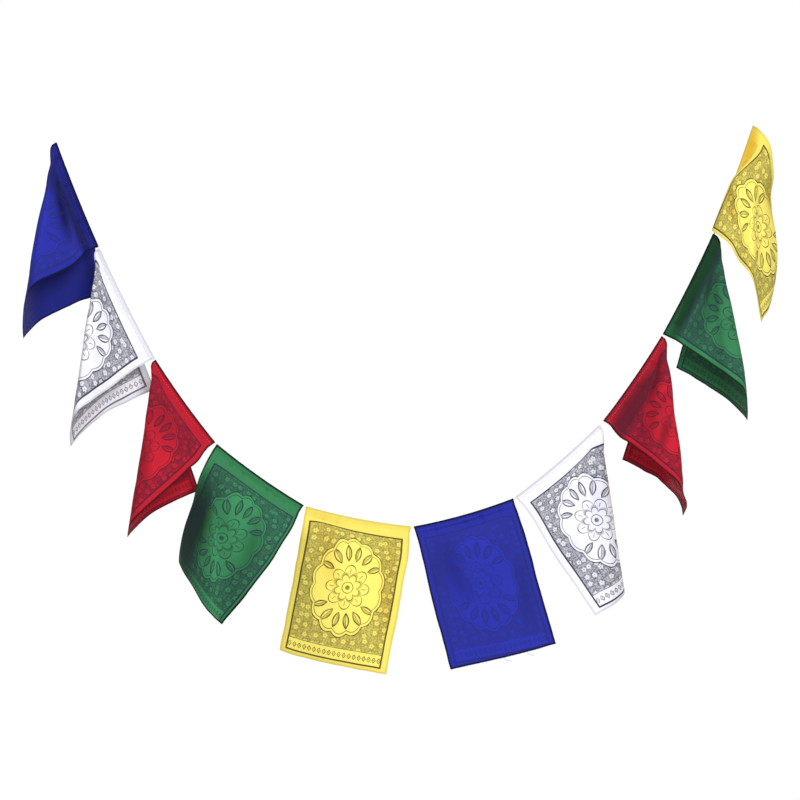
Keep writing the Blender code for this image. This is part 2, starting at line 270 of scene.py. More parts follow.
# The block print, in millimetres from the top left corner of a flag of this size
CLOTH_WIDE, CLOTH_TALL = 172.0, 243.0
FRAME_MIDDLE, FRAME_HALF, FRAME_LINE = (85.0, 127.0), (75.0, 106.0), 2.7
PANEL_MIDDLE, PANEL_HALF, PANEL_SCALLOPS = (85.0, 117.0), (60.0, 82.0), 7
BLOSSOM_STEP, LEAF_STEP = 15.0, 4.6
BORDER_TOP, BORDER_MIDDLE, BORDER_CELLS = 213.0, 223.0, 19
THREAD_STEP = 0.75

# How far each print landed from there: to the right, down at its left, and more down at its right
PRINT_SHIFTS = {
    "flag_02_white": (0, -1, 8),
    "flag_03_red": (0, 4, 0),
    "flag_04_green": (5, 8, 2),
    "flag_05_yellow": (0, 2, 0),
    "flag_06_blue": (2, 1, 6),
    "flag_07_white": (3, 2, 8),
    "flag_08_red": (0, 3, 0),
    "flag_09_green": (0, 4, 0),
    "flag_10_yellow": (-4, 4, 9),
}

# One leaf of the four mirrored sprays round the lotus, from the lotus's middle
Leaf = namedtuple("Leaf", "across up tilt length width")
LEAVES = (
    Leaf(8.0, 52.0, 80, 12.0, 4.2),
    Leaf(24.0, 46.0, 52, 12.5, 4.6),
    Leaf(37.0, 31.0, 24, 11.0, 4.0),
)

# For each cloth: its ink and how strong that is, as a whole and on the ground of blossoms, the
# thread of its stitches, the colour it is painted towards in shade, how dark its edges are, and
# the share of that painted shade on its inner face, where a flap lies behind
Palette = namedtuple("Palette", "ink strength ground thread deep rim lining")
PALETTES = {
    "blue_cloth": Palette(
        (0.020, 0.022, 0.090), 0.60, 0.9, (0.05, 0.06, 0.38), (0.005, 0.006, 0.08), 0.95, 0.5
    ),
    "white_cloth": Palette(
        (0.020, 0.020, 0.055), 1.0, 1.0, (0.56, 0.56, 0.62), (0.66, 0.66, 0.78), 0.32, 0.0
    ),
    "red_cloth": Palette(
        (0.085, 0.010, 0.026), 0.95, 1.0, (0.62, 0.15, 0.15), (0.14, 0.005, 0.016), 0.92, 0.0
    ),
    "green_cloth": Palette(
        (0.020, 0.034, 0.050), 0.95, 1.0, (0.02, 0.12, 0.05), (0.004, 0.030, 0.010), 0.95, 0.1
    ),
    "yellow_cloth": Palette(
        (0.040, 0.026, 0.010), 0.95, 0.84, (0.80, 0.56, 0.08), (0.61, 0.37, 0.02), 0.25, 0.1
    ),
}
FOLD_SHADE, MARGIN_SHADE = 0.95, 0.20  # share of the painted deep shade in a fold, and of that darker colour outside the print
RIM_WIDTH, RIM_FADE = 1.7, 4.2  # how far in an edge is dark, and where that ends
RIM_TONE = 0.3  # its tone beside the deep shade
FOLD_LINE, FOLD_TONE = (0.4, 2.8), 0.65  # the same for the painted shade along the line where a flag is folded
CLOTH_FINISH = {"Sheen Weight": 0.02, "Sheen Roughness": 0.5, "Specular IOR Level": 0.12}

# How the cloth strays from its solid, in millimetres
SIDE_STEP, BOTTOM_STEP = 26, 22  # of the waves in the cut sides and in the bottom edge
WANDER_FADE, LEAST_WANDER = 12, 0.02  # how far in those waves fade, and the share to stop at
CREASES_FROM, RIPPLES_FROM, PULLS_FROM = 14, 20, 10  # below the hem, where each is in full
RIPPLE_STEP, RIPPLE_RISE = 34, 0.7
WIDE_GATHER, FINE_GATHER = (7.0, 0.35), (3.1, 0.2)  # step and rise, along the stitches
PUCKER_LEAN, PUCKER_TURN = 5, 2.4  # how far a pucker leans, and the step of its phase
DEEPEST = 3.0  # the depth at which a trough has all of its painted shade
BACK_SHARE = 0.3  # share of creases and ripples on the hem's back layer

# The cord: how deep its plies lie, and a knot near each end, as its swelling, where its middle is
# and how far it reaches, in shares of the tail
LAY = 0.12
KNOT_SWELL, KNOT_PLACE, KNOT_REACH = 0.7, 0.35, 0.4

# The frayed fibres: how many cells in the outward direction is taken from, and the widest gap
# between two places of one edge
INWARDS = 3
EDGE_GAP = 4 * MM
FIRST_FRAY_SEED = 40

# The loose threads: the flag, how far along its bottom edge each hangs, its run to the side and
# its drop in millimetres, and its way as shares of those, with its sway towards the viewer
THREADED = "flag_06_blue"
LOOSE_THREADS = ((0.26, 11, 5), (0.475, 11, 5))
LOOSE_WAY = ((0, 0, 0), (0.1, -0.5, -0.5), (0.3, -0.8, -0.9), (0.7, -0.6, -1.0), (1, -0.2, -1.25))
LOOSE_SWAY, LOOSE_RADIUS, LOOSE_COLOUR = 2 * MM, 0.36 * MM, (0.36, 0.36, 0.40)

# The floor and the lights, in metres
FLOOR_HALF, FLOOR_LEVEL = 1.5, -1.36
KEY_PLACE, KEY_SIZE = (0.7, -3.9, 1.1), 1.6  # its place from the middle of the view
WALL_GLOW, WALL_EDGE = 1.02, (0.55, 0.85)  # the light behind the string, and where it sets in

# The camera stands square to the string, so far off and wide enough to frame it
VIEW_PIXEL = 1.6 * MM
VIEW_SIZE = 800
VIEW_LEFT, VIEW_TOP = -54.8, 141.2  # the frame's top left corner, in pixels from the origin
VIEW_DISTANCE = 5.0


def pointing(side, swing, depth=0.0):
    """The direction of a ray with that swing and depth in degrees."""
    a, b = math.radians(swing), math.radians(depth)
    return Vector((side * math.sin(a) * math.cos(b), math.sin(b), -math.cos(a) * math.cos(b)))


def smooth_between(start, end, leaving, arriving, t):
    """The smooth way from start to end at t from 0 to 1, with its slope at either end."""
    return (
        start * (1 - t) ** 2 * (1 + 2 * t)
        + end * t**2 * (3 - 2 * t)
        + leaving * t * (1 - t) ** 2
        - arriving * t**2 * (1 - t)
    )


def curved(rows, at, column):
    """The smooth value of a column at a cloth angle, through the rows on either side."""
    spot = max(i for i in range(len(rows) - 1) if rows[i].cloth <= at or i == 0)
    left, right = rows[spot], rows[spot + 1]
    before = rows[max(spot - 1, 0)]
    after = rows[min(spot + 2, len(rows) - 1)]
    span = right.cloth - left.cloth
    start, end = getattr(left, column), getattr(right, column)
    rise_in = (end - getattr(before, column)) / (right.cloth - before.cloth)
    rise_out = (getattr(after, column) - start) / (after.cloth - left.cloth)
    return smooth_between(start, end, rise_in * span, rise_out * span, (at - left.cloth) / span)


def eased(t):
    """0 up to t of 0 and 1 from t of 1, smooth between."""
    t = min(max(t, 0.0), 1.0)
    return t * t * (3 - 2 * t)


class Hang:
    """How one flag hangs: where its hem lies on the cord and where its cloth goes."""

    def __init__(self, flag, left_end):
        self.flag = flag
        self.width = flag.width * MM
        self.height = flag.height * MM - HEM_DEPTH
        self.side = 1 if flag.slope > 0 else -1
        self.hem_swing = 90 - abs(flag.slope)
        self.sag = HEM_SAG * math.sin(math.radians(self.hem_swing))
        self.along = pointing(self.side, self.hem_swing)
        self.down = pointing(self.side, self.hem_swing - 90)
        self.upper = left_end.copy()
        if self.side < 0:
            self.upper -= self.along * self.width
        self.rays = (Ray(0, self.hem_swing, 0), *FOLDS[flag.name])
        self.corner = math.degrees(math.atan2(self.height, self.width))

    def hem(self, along):
        """The cord's axis at that distance from the hem's upper end."""
        share = along / self.width
        return self.upper + self.along * along + self.down * self.sag * 4 * share * (1 - share)

    def hem_depth(self, along):
        """From the cord's axis to the hem's inner edge, at that distance from its upper end."""
        tip = self.flag.tip * MM
        return tip + (HEM_DEPTH - tip) * eased(along / HEM_WIDENS)

    def hem_ends(self):
        """The hem's left and right ends, and the cord's directions there."""
        tilt = 4 * self.sag / self.width
        out = (self.along + self.down * tilt).normalized()
        back = (self.along - self.down * tilt).normalized()
        if self.side > 0:
            return self.hem(0), self.hem(self.width), out, back
        return self.hem(self.width), self.hem(0), -back, -out

    def cloth(self, along, drop):
        """The cloth at that distance along the hem and below its inner edge."""
        angle = math.degrees(math.atan2(drop, along))
        turn = math.radians(angle)
        if angle <= self.corner:
            full = self.width / math.cos(turn)
        else:
            full = self.height / math.sin(turn)
        reach = math.hypot(along, drop)
        share = reach / full
        fold = eased(reach / (self.flag.flat_reach * MM))
        flat_swing = self.hem_swing - angle
        swing = curved(self.rays, angle, "swing")
        swing += curved(self.rays, angle, "bow") * 4 * share * (1 - share)
        depth = curved(self.rays, angle, "depth")
        turned = TURNED_AT_TIP + (1 - TURNED_AT_TIP) * fold
        gathered = fold * eased(angle / GATHERED_AT)
        hem_depth = self.hem_depth(along)
        start = self.upper + self.down * hem_depth * (1 - gathered)
        place = start + (reach + gathered * HEM_DEPTH * math.sin(turn)) * pointing(
            self.side, flat_swing + (swing - flat_swing) * turned, depth * fold
        )
        fades = max(0.0, 1 - angle / SAG_FADES_AT) ** 2
        return place + self.down * self.sag * 4 * share * (1 - share) * fades


def hang_all():
    """Every flag's Hang, placed one after another along the cord."""
    hangs = []
    left_end = pointing(1, 90 - FLAGS[0].slope) * CORD_TAIL
    for flag, following in zip(FLAGS, FLAGS[1:] + FLAGS[-1:]):
        hangs.append(Hang(flag, left_end))
        _, right_end, _, _ = hangs[-1].hem_ends()
        middle = 90 - (flag.slope + following.slope) / 2
        left_end = right_end + pointing(1, middle) * flag.gap * MM
    return hangs


def bend(start, end, leaving, arriving):
    """Points of the smooth bend of cord between two hems, without its ends."""
    reach = (end - start).length
    shares = [i / BEND_STEPS for i in range(1, BEND_STEPS)]
    return [smooth_between(start, end, leaving * reach, arriving * reach, t) for t in shares]


def cord_route(hangs):
    """The cord's whole route, from its left end to its right end."""
    route = [Vector((0, 0, 0))]
    for n, hang in enumerate(hangs):
        left, right, leaving, arriving = hang.hem_ends()
        if n > 0:
            _, before, _, direction = hangs[n - 1].hem_ends()
            route += bend(before, left, direction, leaving)
        steps = [hang.width * i / CORD_STEPS for i in range(CORD_STEPS + 1)]
        if hang.side < 0:
            steps.reverse()
        route += [hang.hem(step) for step in steps]
    route.append(route[-1] + arriving * CORD_TAIL)
    return route


def maths(operation, reflected=False):
    """A method of Wire that adds one Math node."""

    def method(wire, *others):
        terms = (*others, wire) if reflected else (wire, *others)
        return wire.board.node("ShaderNodeMath", {"operation": operation}, terms)

    return method


class Wire:
    """A socket of a node tree, whose arithmetic adds Math nodes."""

    __add__, __radd__ = maths("ADD"), maths("ADD", reflected=True)
    __sub__, __rsub__ = maths("SUBTRACT"), maths("SUBTRACT", reflected=True)
    __mul__, __rmul__ = maths("MULTIPLY"), maths("MULTIPLY", reflected=True)
    __truediv__ = maths("DIVIDE")
    __pow__ = maths("POWER")
    __abs__ = maths("ABSOLUTE")
    __lt__ = maths("LESS_THAN")
    __gt__ = maths("GREATER_THAN")
    sin = maths("SINE")
    cos = maths("COSINE")
    fraction = maths("FRACT")
    or_more = maths("MAXIMUM")
    angle = maths("ARCTAN2")

    def __init__(self, board, socket):
        self.board = board
        self.socket = socket

    def rising(self, low, high):
        """0 below low and 1 above high, smooth between."""
        return self.board.node(
            "ShaderNodeMapRange",
            {"interpolation_type": "SMOOTHSTEP"},
            {"Value": self, "From Min": low, "From Max": high},
        )

    def stroke(self, width):
        """1 on a line of that width where the value is 0, with a soft edge."""
        return 1 - abs(self).rising(width / 2 - 0.35, width / 2 + 0.35)

    def output(self, name):
        return Wire(self.board, self.socket.node.outputs[name])


class Board:
    """A node tree that calls fill in."""

    def __init__(self, tree):
        self.tree = tree

    def node(self, kind, settings=(), inputs=(), output=0):
        """A new node with its settings made first, and its inputs by name or in order."""
        made = self.tree.nodes.new(kind)
        for name, value in dict(settings).items():
            setattr(made, name, value)
        for slot, value in inputs.items() if isinstance(inputs, dict) else enumerate(inputs):
            if isinstance(value, Wire):
                self.tree.links.new(value.socket, made.inputs[slot])
            else:
                made.inputs[slot].default_value = value
        return Wire(self, made.outputs[output]) if made.outputs else None

    def feed(self, node, socket, wire):
        """Links a wire to a node's input."""
        self.tree.links.new(wire.socket, node.inputs[socket])

    def blend(self, share, start, end):
        """One colour going over to another."""
        settings = {"data_type": "RGBA", "blend_type": "MIX"}
        return self.node("ShaderNodeMix", settings, {0: share, 6: start, 7: end}, output=2)

    def grain(self, place, detail=2.0):
        """Smooth noise about one half at a place in cells."""
        settings = {"noise_dimensions": "2D"}
        inputs = {"Vector": place, "Scale": 1.0, "Detail": detail}
        return self.node("ShaderNodeTexNoise", settings, inputs)

    def place(self, x, y):
        return self.node("ShaderNodeCombineXYZ", {}, (x, y, 0.0))

    def shaded(self, colour, shade):
        """A colour made lighter or darker."""
        inputs = {0: tuple(colour[:3]), "Scale": shade}
        return self.node("ShaderNodeVectorMath", {"operation": "SCALE"}, inputs)

    def roughen(self, shader, strength, distance, height):
        """Gives a shader fine bumps."""
        inputs = {"Strength": strength, "Distance": distance, "Height": height}
        self.feed(shader, "Normal", self.node("ShaderNodeBump", {}, inputs))


def blossom_ground(board, x, y):
    """The ink of a close ground of small round blossoms among leaves."""
    settings = {"voronoi_dimensions": "2D", "feature": "F1"}
    spot = board.place(x / BLOSSOM_STEP, y / BLOSSOM_STEP)
    cells = board.node(
        "ShaderNodeTexVoronoi", settings, {"Vector": spot, "Scale": 1.0, "Randomness": 0.62}
    )
    centre = board.node("ShaderNodeSeparateXYZ", {}, (cells.output("Position"),))
    across = x - centre * BLOSSOM_STEP
    down = y - centre.output("Y") * BLOSSOM_STEP
    away = cells * BLOSSOM_STEP
    petals = abs((down.angle(across) * 2.5).cos()) * 1.3 + 2.7
    blossom = 1 - (away - petals).rising(-0.4, 0.3)
    heart = 1 - away.rising(0.7, 1.2)
    wreath = (away - petals - 1.9).stroke(0.9)
    settings = {"voronoi_dimensions": "2D", "feature": "DISTANCE_TO_EDGE"}
    spot = board.place(x / LEAF_STEP, y / LEAF_STEP)
    leaf_edge = board.node("ShaderNodeTexVoronoi", settings, {"Vector": spot, "Scale": 1.0})
    veins = 1 - leaf_edge.rising(0.03, 0.16)
    speckle = board.grain(board.place(x / 1.7, y / 1.7)).rising(0.35, 0.65)
    ground = 0.48 + veins * 0.32 + speckle * 0.20
    leaves = ground.or_more(wreath * 0.95) * (1 - blossom * 0.75)
    return leaves.or_more(heart * 0.75)


def lotus(board, x, y):
    """The ink of a round lotus with two rings of petals."""
    across, down = x - PANEL_MIDDLE[0], y - PANEL_MIDDLE[1]
    away = (across * across + down * down) ** 0.5
    turn = down.angle(across)
    outer = abs((turn * 4).cos()) ** 0.7 * 12.0 + 22.0
    inner = abs((turn * 4).sin()) ** 0.7 * 8.0 + 12.5
    outer_edge = away - outer
    lines = outer_edge.stroke(1.5).or_more((away - inner).stroke(1.3))
    lines = lines.or_more((away - 8.5).stroke(1.2)).or_more(1 - away.rising(3.2, 4.0))
    midrib = ((turn * 4).sin() * away / 4).stroke(0.9)
    midrib = midrib * away.rising(20.0, 23.0) * (1 - outer_edge.rising(-6.0, -4.0))
    shade = (away - inner).rising(0.2, 1.0) * (1 - (away - inner).rising(2.0, 5.5)) * 0.5
    return lines.or_more(midrib).or_more(shade * (1 - outer_edge.rising(-2.0, -1.0)))


def sprays(board, x, y):
    """The ink of the four sprays of leaves round the lotus, mirrored both ways."""
    across, up = abs(x - PANEL_MIDDLE[0]), abs(y - PANEL_MIDDLE[1])
    ink = None
    for leaf in LEAVES:
        tilt = math.radians(leaf.tilt)
        a, b = across - leaf.across, up - leaf.up
        along = a * math.cos(tilt) + b * math.sin(tilt)
        beside = b * math.cos(tilt) - a * math.sin(tilt)
        rim = (abs(along) / leaf.length) ** 2.0 + abs(beside) / leaf.width - 1
        outline = (rim * leaf.width * 0.6).stroke(1.3)
        inside = 1 - rim.rising(-0.2, 0.0)
        drawn = outline.or_more(beside.stroke(0.9) * inside)
        drawn = drawn.or_more(inside * (beside > 0) * 0.45)
        ink = drawn if ink is None else ink.or_more(drawn)
    return ink


def print_tree():
    """The node group of the block print: how much ink lies at a place of the cloth, and whether
    that is inside the print's frame."""
    tree = bpy.data.node_groups.new("block print", "ShaderNodeTree")
    for name in ("Across", "Down", "Ground"):
        tree.interface.new_socket(name, in_out="INPUT", socket_type="NodeSocketFloat")
    for name in ("Ink", "Framed"):
        tree.interface.new_socket(name, in_out="OUTPUT", socket_type="NodeSocketFloat")
    board = Board(tree)
    x = board.node("NodeGroupInput")
    y = x.output("Down")

    # A line round all, and within it a scalloped panel on the ground of blossoms
    right, below = abs(x - FRAME_MIDDLE[0]), abs(y - FRAME_MIDDLE[1])
    edge = (right - FRAME_HALF[0]).or_more(below - FRAME_HALF[1])
    within = edge < -1.0
    a = (x - PANEL_MIDDLE[0]) / PANEL_HALF[0]
    b = (y - PANEL_MIDDLE[1]) / PANEL_HALF[1]
    scallop = abs((b.angle(a) * PANEL_SCALLOPS).sin()) * 0.07 + 0.90
    rim = ((a * a + b * b) ** 0.5 - scallop) * PANEL_HALF[0]
    lines = rim.stroke(1.6).or_more((rim + 4.2).stroke(1.0))
    ground = blossom_ground(board, x, y) * x.output("Ground") * rim.rising(0.3, 0.9)
    panel = lotus(board, x, y).or_more(sprays(board, x, y)) * (rim < -5.0)

    # A border of lozenges and dots below them
    step = 2 * FRAME_HALF[0] / BORDER_CELLS
    beside = (((x - FRAME_MIDDLE[0] + FRAME_HALF[0]) / step).fraction() - 0.5) * step
    from_row = abs(y - BORDER_MIDDLE)
    lozenge = abs(beside) / 2.7 + from_row / 3.9 - 1
    border = (lozenge * 2.4).stroke(1.2).or_more(1 - lozenge.rising(-0.85, -0.6))
    border = border.or_more((y - BORDER_TOP).stroke(1.2)) * (y > BORDER_TOP - 1)

    ink = lines.or_more(ground).or_more(panel) * (y < BORDER_TOP - 1)
    worn = board.grain(board.place(x / 9.0, y / 9.0), 4.0).rising(0.30, 0.62) * 0.26 + 0.74
    ink = (ink.or_more(border) * within * worn).or_more(edge.stroke(FRAME_LINE) * 0.97)
    board.node("NodeGroupOutput", {}, (ink, edge < 0.0))
    return tree


def new_material(name):
    """A material with a Principled shader, and the board of its nodes."""
    material = bpy.data.materials.new(name)
    material.use_nodes = True
    return material, Board(material.node_tree), material.node_tree.nodes["Principled BSDF"]


def cloth_material(name, dye, settings, block_print):
    """Dyed plain weave with the block print, with painted shade in the folds, and darker edges.
    """
    palette = PALETTES[name]
    material, board, shader = new_material(name)
    flat = board.node("ShaderNodeUVMap", {"uv_map": "flat cloth"})
    flat = board.node("ShaderNodeSeparateXYZ", {}, (flat,))
    x = flat * CLOTH_WIDE
    y = (1 - flat.output("Y")) * CLOTH_TALL
    places = {"Across": x, "Down": y, "Ground": palette.ground}
    ink = board.node("ShaderNodeGroup", {"node_tree": block_print}, places)
    back, crease, from_edge, from_fold = (
        board.node("ShaderNodeAttribute", {"attribute_name": name}).output("Fac")
        for name in ("back", "crease", "from edge", "from fold")
    )

    clouds = board.grain(board.place(x / 38.0, y / 38.0), 3.0)
    warp = board.grain(board.place(x / 0.8, y / 19.0))
    weft = board.grain(board.place(x / 23.0, y / 0.8))
    shade = 0.84 + clouds * 0.14 + warp * 0.09 + weft * 0.09
    colour = board.shaded(dye, shade)
    # Painted shade: the colour goes towards the deep shade colour in troughs, streaks and
    # puckers, and outside the print a little towards the same darker colour
    deep = (crease * FOLD_SHADE).or_more((1 - ink.output("Framed")) * MARGIN_SHADE)
    # Painted shade on the inner face, seen where a flap lies behind
    deep = deep.or_more(back * palette.lining)
    colour = board.blend(deep, colour, (*palette.deep, 1.0))
    strength = palette.strength * settings.print_strength
    colour = board.blend(ink * (1 - back * 0.12) * strength, colour, (*palette.ink, 1.0))
    # Painted shade: a dark line along the fold where the cloth turns away; the cut edges are
    # darker too
    fold_line_shade = (1 - abs(from_fold).rising(*FOLD_LINE)) * FOLD_TONE
    bright = from_edge.rising(RIM_WIDTH, RIM_FADE) * (1 - fold_line_shade)
    rim = tuple(RIM_TONE * part for part in palette.deep)
    colour = board.blend((1 - bright) * palette.rim, colour, (*rim, 1.0))
    board.feed(shader, "Base Color", colour)
    board.feed(shader, "Roughness", 0.66 + clouds * 0.16 + ink * 0.10)
    turn = 2 * math.pi / THREAD_STEP
    threads = (x * turn).sin() * (y * turn).sin() + warp + weft
    board.roughen(shader, 0.35, 0.12 * MM, threads)
    for socket, value in CLOTH_FINISH.items():
        shader.inputs[socket].default_value = value
    return material


def thread_material(name, colour):
    """Spun thread: fine streaks along it and a fuzzy surface."""
    material, board, shader = new_material(name)
    place = board.node("ShaderNodeTexCoord").output("Object")
    fibres = board.node(
        "ShaderNodeTexNoise", {}, {"Vector": place, "Scale": 2200.0, "Detail": 3.0}
    )
    patches = board.node("ShaderNodeTexNoise", {}, {"Vector": place, "Scale": 60.0})
    shade = 0.72 + fibres * 0.34 + patches * 0.16
    board.feed(shader, "Base Color", board.shaded(colour, shade))
    board.feed(shader, "Roughness", 0.72 + fibres * 0.2)
    board.roughen(shader, 0.5, 0.1 * MM, fibres)
    return material


def backdrop_material():
    """Pale matt floor with a faint mottle."""
    material, board, shader = new_material("pale floor")
    place = board.node("ShaderNodeTexCoord").output("Object")
    mottle = board.node("ShaderNodeTexNoise", {}, {"Vector": place, "Scale": 3.0})
    shade = board.blend(mottle, (0.80, 0.80, 0.80, 1.0), (0.84, 0.84, 0.84, 1.0))
    board.feed(shader, "Base Color", shade)
    shader.inputs["Roughness"].default_value = 0.9
    return material


def new_object(name, mesh, material):
    mesh.materials.clear()
    mesh.materials.append(material)
    piece = bpy.data.objects.new(name, mesh)
    bpy.context.scene.collection.objects.link(piece)
    return piece


def smooth_join(mesh):
    """Shades a mesh smooth but for its sharp edges."""
    mesh.shade_smooth()
    mesh.set_sharp_from_angle(angle=math.radians(50))


def crease_rise(crease, along, drop):
    """How far a crease lifts each point of the flat cloth, in millimetres."""
    run = np.array((crease.to_along - crease.along, crease.to_drop - crease.drop), float)
    length = np.hypot(*run)
    run /= length
    a, d = along - crease.along, drop - crease.drop
    share = np.clip((a * run[0] + d * run[1]) / length, 0.0, 1.0)
    off = a * run[1] - d * run[0]
    return crease.rise * np.exp(-((off / crease.width) ** 2)) * np.sin(math.pi * share) ** 0.8


def sleeve_section():
    """The sleeve's middle surface as rows of (below the cord's axis, towards the viewer)."""
    turns = [math.radians(turn) for turn in SLEEVE_TURNS]
    over = [(SLEEVE_ROUND * math.cos(t), SLEEVE_ROUND * math.sin(t)) for t in turns]
    return [*SLEEVE_FRONT, *over, *SLEEVE_BACK]


def in_hem(hang, along, below):
    """How far a row of the section lies below the cord where the hem has less than its depth."""
    low = SLEEVE_ROUND * math.cos(math.radians(SLEEVE_TURNS[0]))
    if below <= low:
        return below * MM
    share = (hang.hem_depth(along) / MM - low) / (HEM_DEPTH / MM - low)
    return (low + (below - low) * share) * MM


def tucked(tuck, along, drop):
    """How far up over the hem, and towards the viewer, a tuck carries a place of the cloth."""
    share = eased((along - tuck.start) / (tuck.full - tuck.start))
    up = eased(drop / tuck.fold) * (1 - eased((drop - tuck.fold) / tuck.fade))
    out = eased(drop / (1.5 * tuck.fold)) * (1 - eased((drop - 2 * tuck.fold) / tuck.fade))
    return share * up * tuck.up * MM, share * out * tuck.out * MM


def near(pull, along, drop):
    """1 at a pull's own place, fading to 0 away from it."""
    away = math.hypot(along - pull.along, drop - pull.drop)
    return math.exp(-((away / pull.spread) ** 2))


def hung_row(hang, alongs, drop):
    """A row of the cloth below the hem, where its folds, its tuck and its pulls lay it."""
    row = [hang.cloth(along, drop) for along in alongs]
    if hang.flag.name in TUCKS:
        moves = [tucked(TUCKS[hang.flag.name], a / MM, drop / MM) for a in alongs]
        row = [p - hang.down * up + VIEWER * out for p, (up, out) in zip(row, moves)]
    for pull in PULLS.get(hang.flag.name, ()):
        shift = Vector((pull.right, 0, pull.up)) * MM * min(drop / MM / PULLS_FROM, 1.0)
        row = [p + shift * near(pull, a / MM, drop / MM) for p, a in zip(row, alongs)]
    return row


def hem_row(hang, alongs, below, out):
    """A row of the hem round the cord, from a row of its section."""
    return [
        hang.hem(along) + hang.down * in_hem(hang, along, below) + VIEWER * out * MM
        for along in alongs
    ]


class Sheet:
    """One flag's cloth as a grid: rows from its bottom edge up and over the cord, columns from
    the hem's upper end to its lower end."""

    def __init__(self, hang, settings):
        self.hang = hang
        columns = round(hang.width / settings.cell)
        rows = round(hang.height / settings.cell)
        alongs = [hang.width * c / columns for c in range(columns + 1)]
        section = sleeve_section()
        grid = [hung_row(hang, alongs, hang.height * (1 - r / rows)) for r in range(rows + 1)]
        grid += [hem_row(hang, alongs, below, out) for below, out in section]
        self.points = np.array(grid)
        depth = HEM_DEPTH / MM
        below_edge = [hang.height / MM * (1 - r / rows) for r in range(rows + 1)]
        below_edge += [below - depth for below, _ in section]
        top = rows + 1 + len(SLEEVE_FRONT) + len(SLEEVE_TURNS) // 2
        along, drop = np.meshgrid(np.array(alongs) / MM, np.array(below_edge))
        self.over_top = np.arange(len(below_edge)) > top
        fold_turn = min(range(30, 91), key=lambda turn: curved(hang.rays, turn, "swing"))
        turn = math.radians(fold_turn)
        self.from_fold = along * math.sin(turn) - drop * math.cos(turn)
        from_sides = np.minimum(along, hang.width / MM - along)
        from_ends = np.minimum(hang.height / MM - drop, drop + depth + SLEEVE_ROUND)
        self.from_edge = np.minimum(from_sides, from_ends)
        self.stitch_rows = [
            rows + 1 + n for n, (below, _) in enumerate(section) if below == STITCH_ROW
        ]
        self.wander(along, drop, settings)
        self.lift(along, drop, settings)
        self.flat = self.flat_places(along, drop)

    def normals(self):
        """Unit normals on the printed face."""
        up = np.gradient(self.points, axis=0)
        across = np.gradient(self.points, axis=1)
        normal = np.cross(across, up) * self.hang.side
        return normal / np.linalg.norm(normal, axis=2, keepdims=True)

    def wander(self, along, drop, settings):
        """Shifts the cut edges a little out of true."""
        wide, tall = self.hang.width / MM, self.hang.height / MM
        seed = float(self.hang.flag.width)
        across = np.gradient(self.points, axis=1)
        across /= np.linalg.norm(across, axis=2, keepdims=True)
        up = np.gradient(self.points, axis=0)
        up /= np.linalg.norm(up, axis=2, keepdims=True)
        shift_side = np.zeros_like(along)
        shift_up = np.zeros_like(along)
        for r in range(along.shape[0]):
            for c in range(along.shape[1]):
                a, d = along[r, c], drop[r, c]
                near_end = math.exp(-a / WANDER_FADE)
                far_end = math.exp(-(wide - a) / WANDER_FADE)
                if max(near_end, far_end) > LEAST_WANDER:
                    start = noise.noise(Vector((d / SIDE_STEP, seed, 0))) * near_end
                    end = noise.noise(Vector((d / SIDE_STEP, seed, 9))) * far_end
                    shift_side[r, c] = start + end
                bottom = math.exp(-(tall - d) / WANDER_FADE)
                if bottom > LEAST_WANDER:
                    shift_up[r, c] = noise.noise(Vector((a / BOTTOM_STEP, seed, 5))) * bottom
        wander = settings.edge_wander
        self.points += across * (shift_side * wander)[..., None]
        self.points += up * (shift_up * wander)[..., None]

    def lift(self, along, drop, settings):
        """Raises the creases, the puckers and the gathers along the stitches."""
        name = self.hang.flag.name
        seed = float(self.hang.flag.height)
        rise = np.zeros_like(along)
        for crease in CREASES[name]:
            rise += crease_rise(crease, along, drop)
        rise *= np.clip(drop / CREASES_FROM, 0.0, 1.0) * settings.crease_strength
        # Painted shade: the deeper a trough, the darker its colour, up to all of the painted
        # shade at DEEPEST; the streaks of SHADES and the puckers add more
        shade = -rise / DEEPEST
        for streak in SHADES.get(name, ()):
            shade = np.maximum(shade, crease_rise(streak, along, drop))
        low, high = PUCKER_REACH
        for n, at in enumerate(PUCKERS[name]):
            lean = PUCKER_LEAN * math.sin(seed + PUCKER_TURN * n)
            pucker = Crease(at, low, at + lean, high, PUCKER_WIDTH, -settings.pucker_depth / MM)
            pulled_in = crease_rise(pucker, along, drop)
            rise += pulled_in
            shade += PUCKER_SHADE * pulled_in / pucker.rise
        self.crease = np.clip(shade, 0.0, 1.0)
        (wide, high_wide), (fine, high_fine) = WIDE_GATHER, FINE_GATHER
        gathers = [
            high_wide * noise.noise(Vector((a / wide, seed, 1)))
            + high_fine * noise.noise(Vector((a / fine, 4, seed)))
            for a in along[0]
        ]
        stitched = STITCH_ROW - HEM_DEPTH / MM
        pull = np.exp(-(((drop - stitched) / STITCH_PULL) ** 2))
        rise += np.array(gathers)[None, :] * pull
        step = RIPPLE_STEP
        ripple = [
            [noise.noise(Vector((a / step, d / step, seed))) * RIPPLE_RISE for a in row]
            for row, d in zip(along, drop[:, 0])
        ]
        rise += np.array(ripple) * np.clip(drop / RIPPLES_FROM, 0.0, 1.0)
        rise[self.over_top] *= BACK_SHARE
        self.points += self.normals() * (rise * MM)[..., None]

    def flat_places(self, along, drop):
        """Each point's place on the printed cloth, from 0 to 1 across and up."""
        right, down, slant = PRINT_SHIFTS.get(self.hang.flag.name, (0, 0, 0))
        across = along / (self.hang.width / MM)
        if self.hang.side < 0:
            across = 1 - across
        depth = HEM_DEPTH / MM
        below = drop + depth + SLEEVE_ROUND
        below[self.over_top] = -below[self.over_top]
        up = 1 - below / (self.hang.height / MM + depth + SLEEVE_ROUND)
        up += (down + slant * across) / CLOTH_TALL
        return np.stack([across - right / CLOTH_WIDE, up], axis=2)

